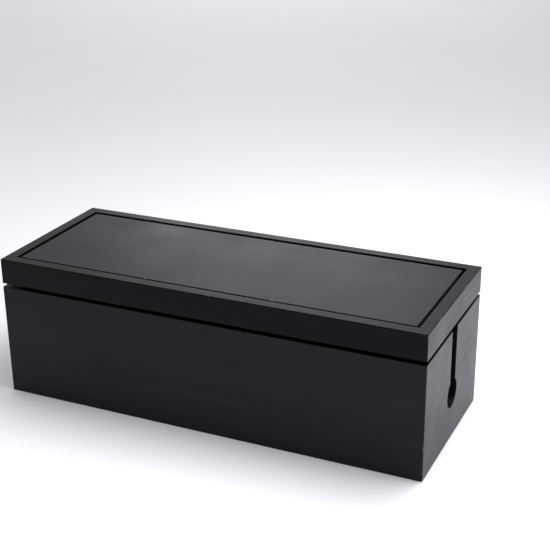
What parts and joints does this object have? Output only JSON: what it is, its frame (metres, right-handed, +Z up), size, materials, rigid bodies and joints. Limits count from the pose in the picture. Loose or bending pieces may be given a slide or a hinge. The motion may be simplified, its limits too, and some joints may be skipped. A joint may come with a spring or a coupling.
{
  "type": "cable management box",
  "caption": "Long black lacquered wooden box with a lift-off lid and keyhole slots in its ends, for hiding a power strip and its leads.",
  "frame": {"origin": "on the surface that the box stands on, under the middle of the box", "axes": "+X along the box's length, +Y from the front to the back, +Z up"},
  "size_m": [0.38, 0.145, 0.125],
  "materials": {
    "black_lacquer": "satin black lacquer over close-grained wood",
    "black_board": "matt black stained board",
    "foot_rubber": "matt black rubber"
  },
  "bodies": {
    "box": {"front_wall": "black_lacquer", "back_wall": "black_lacquer", "left_end_wall": "black_lacquer", "right_end_wall": "black_lacquer", "bottom_panel": "black_board", "locating_strip_front": "black_board", "locating_strip_back": "black_board", "locating_strip_left_front": "black_board", "locating_strip_left_back": "black_board", "locating_strip_right_front": "black_board", "locating_strip_right_back": "black_board", "foot_front_left": "foot_rubber", "foot_front_right": "foot_rubber", "foot_back_left": "foot_rubber", "foot_back_right": "foot_rubber"},
    "lid": {"lid_front_rail": "black_lacquer", "lid_back_rail": "black_lacquer", "lid_left_rail": "black_lacquer", "lid_right_rail": "black_lacquer", "lid_panel": "black_lacquer", "lid_backing_board": "black_board"}
  },
  "joints": [
    {"name": "lid_lift", "type": "slide", "parent": "box", "child": "lid", "axis": [0, 0, 1], "range_m": [0, 0.12]}
  ]
}
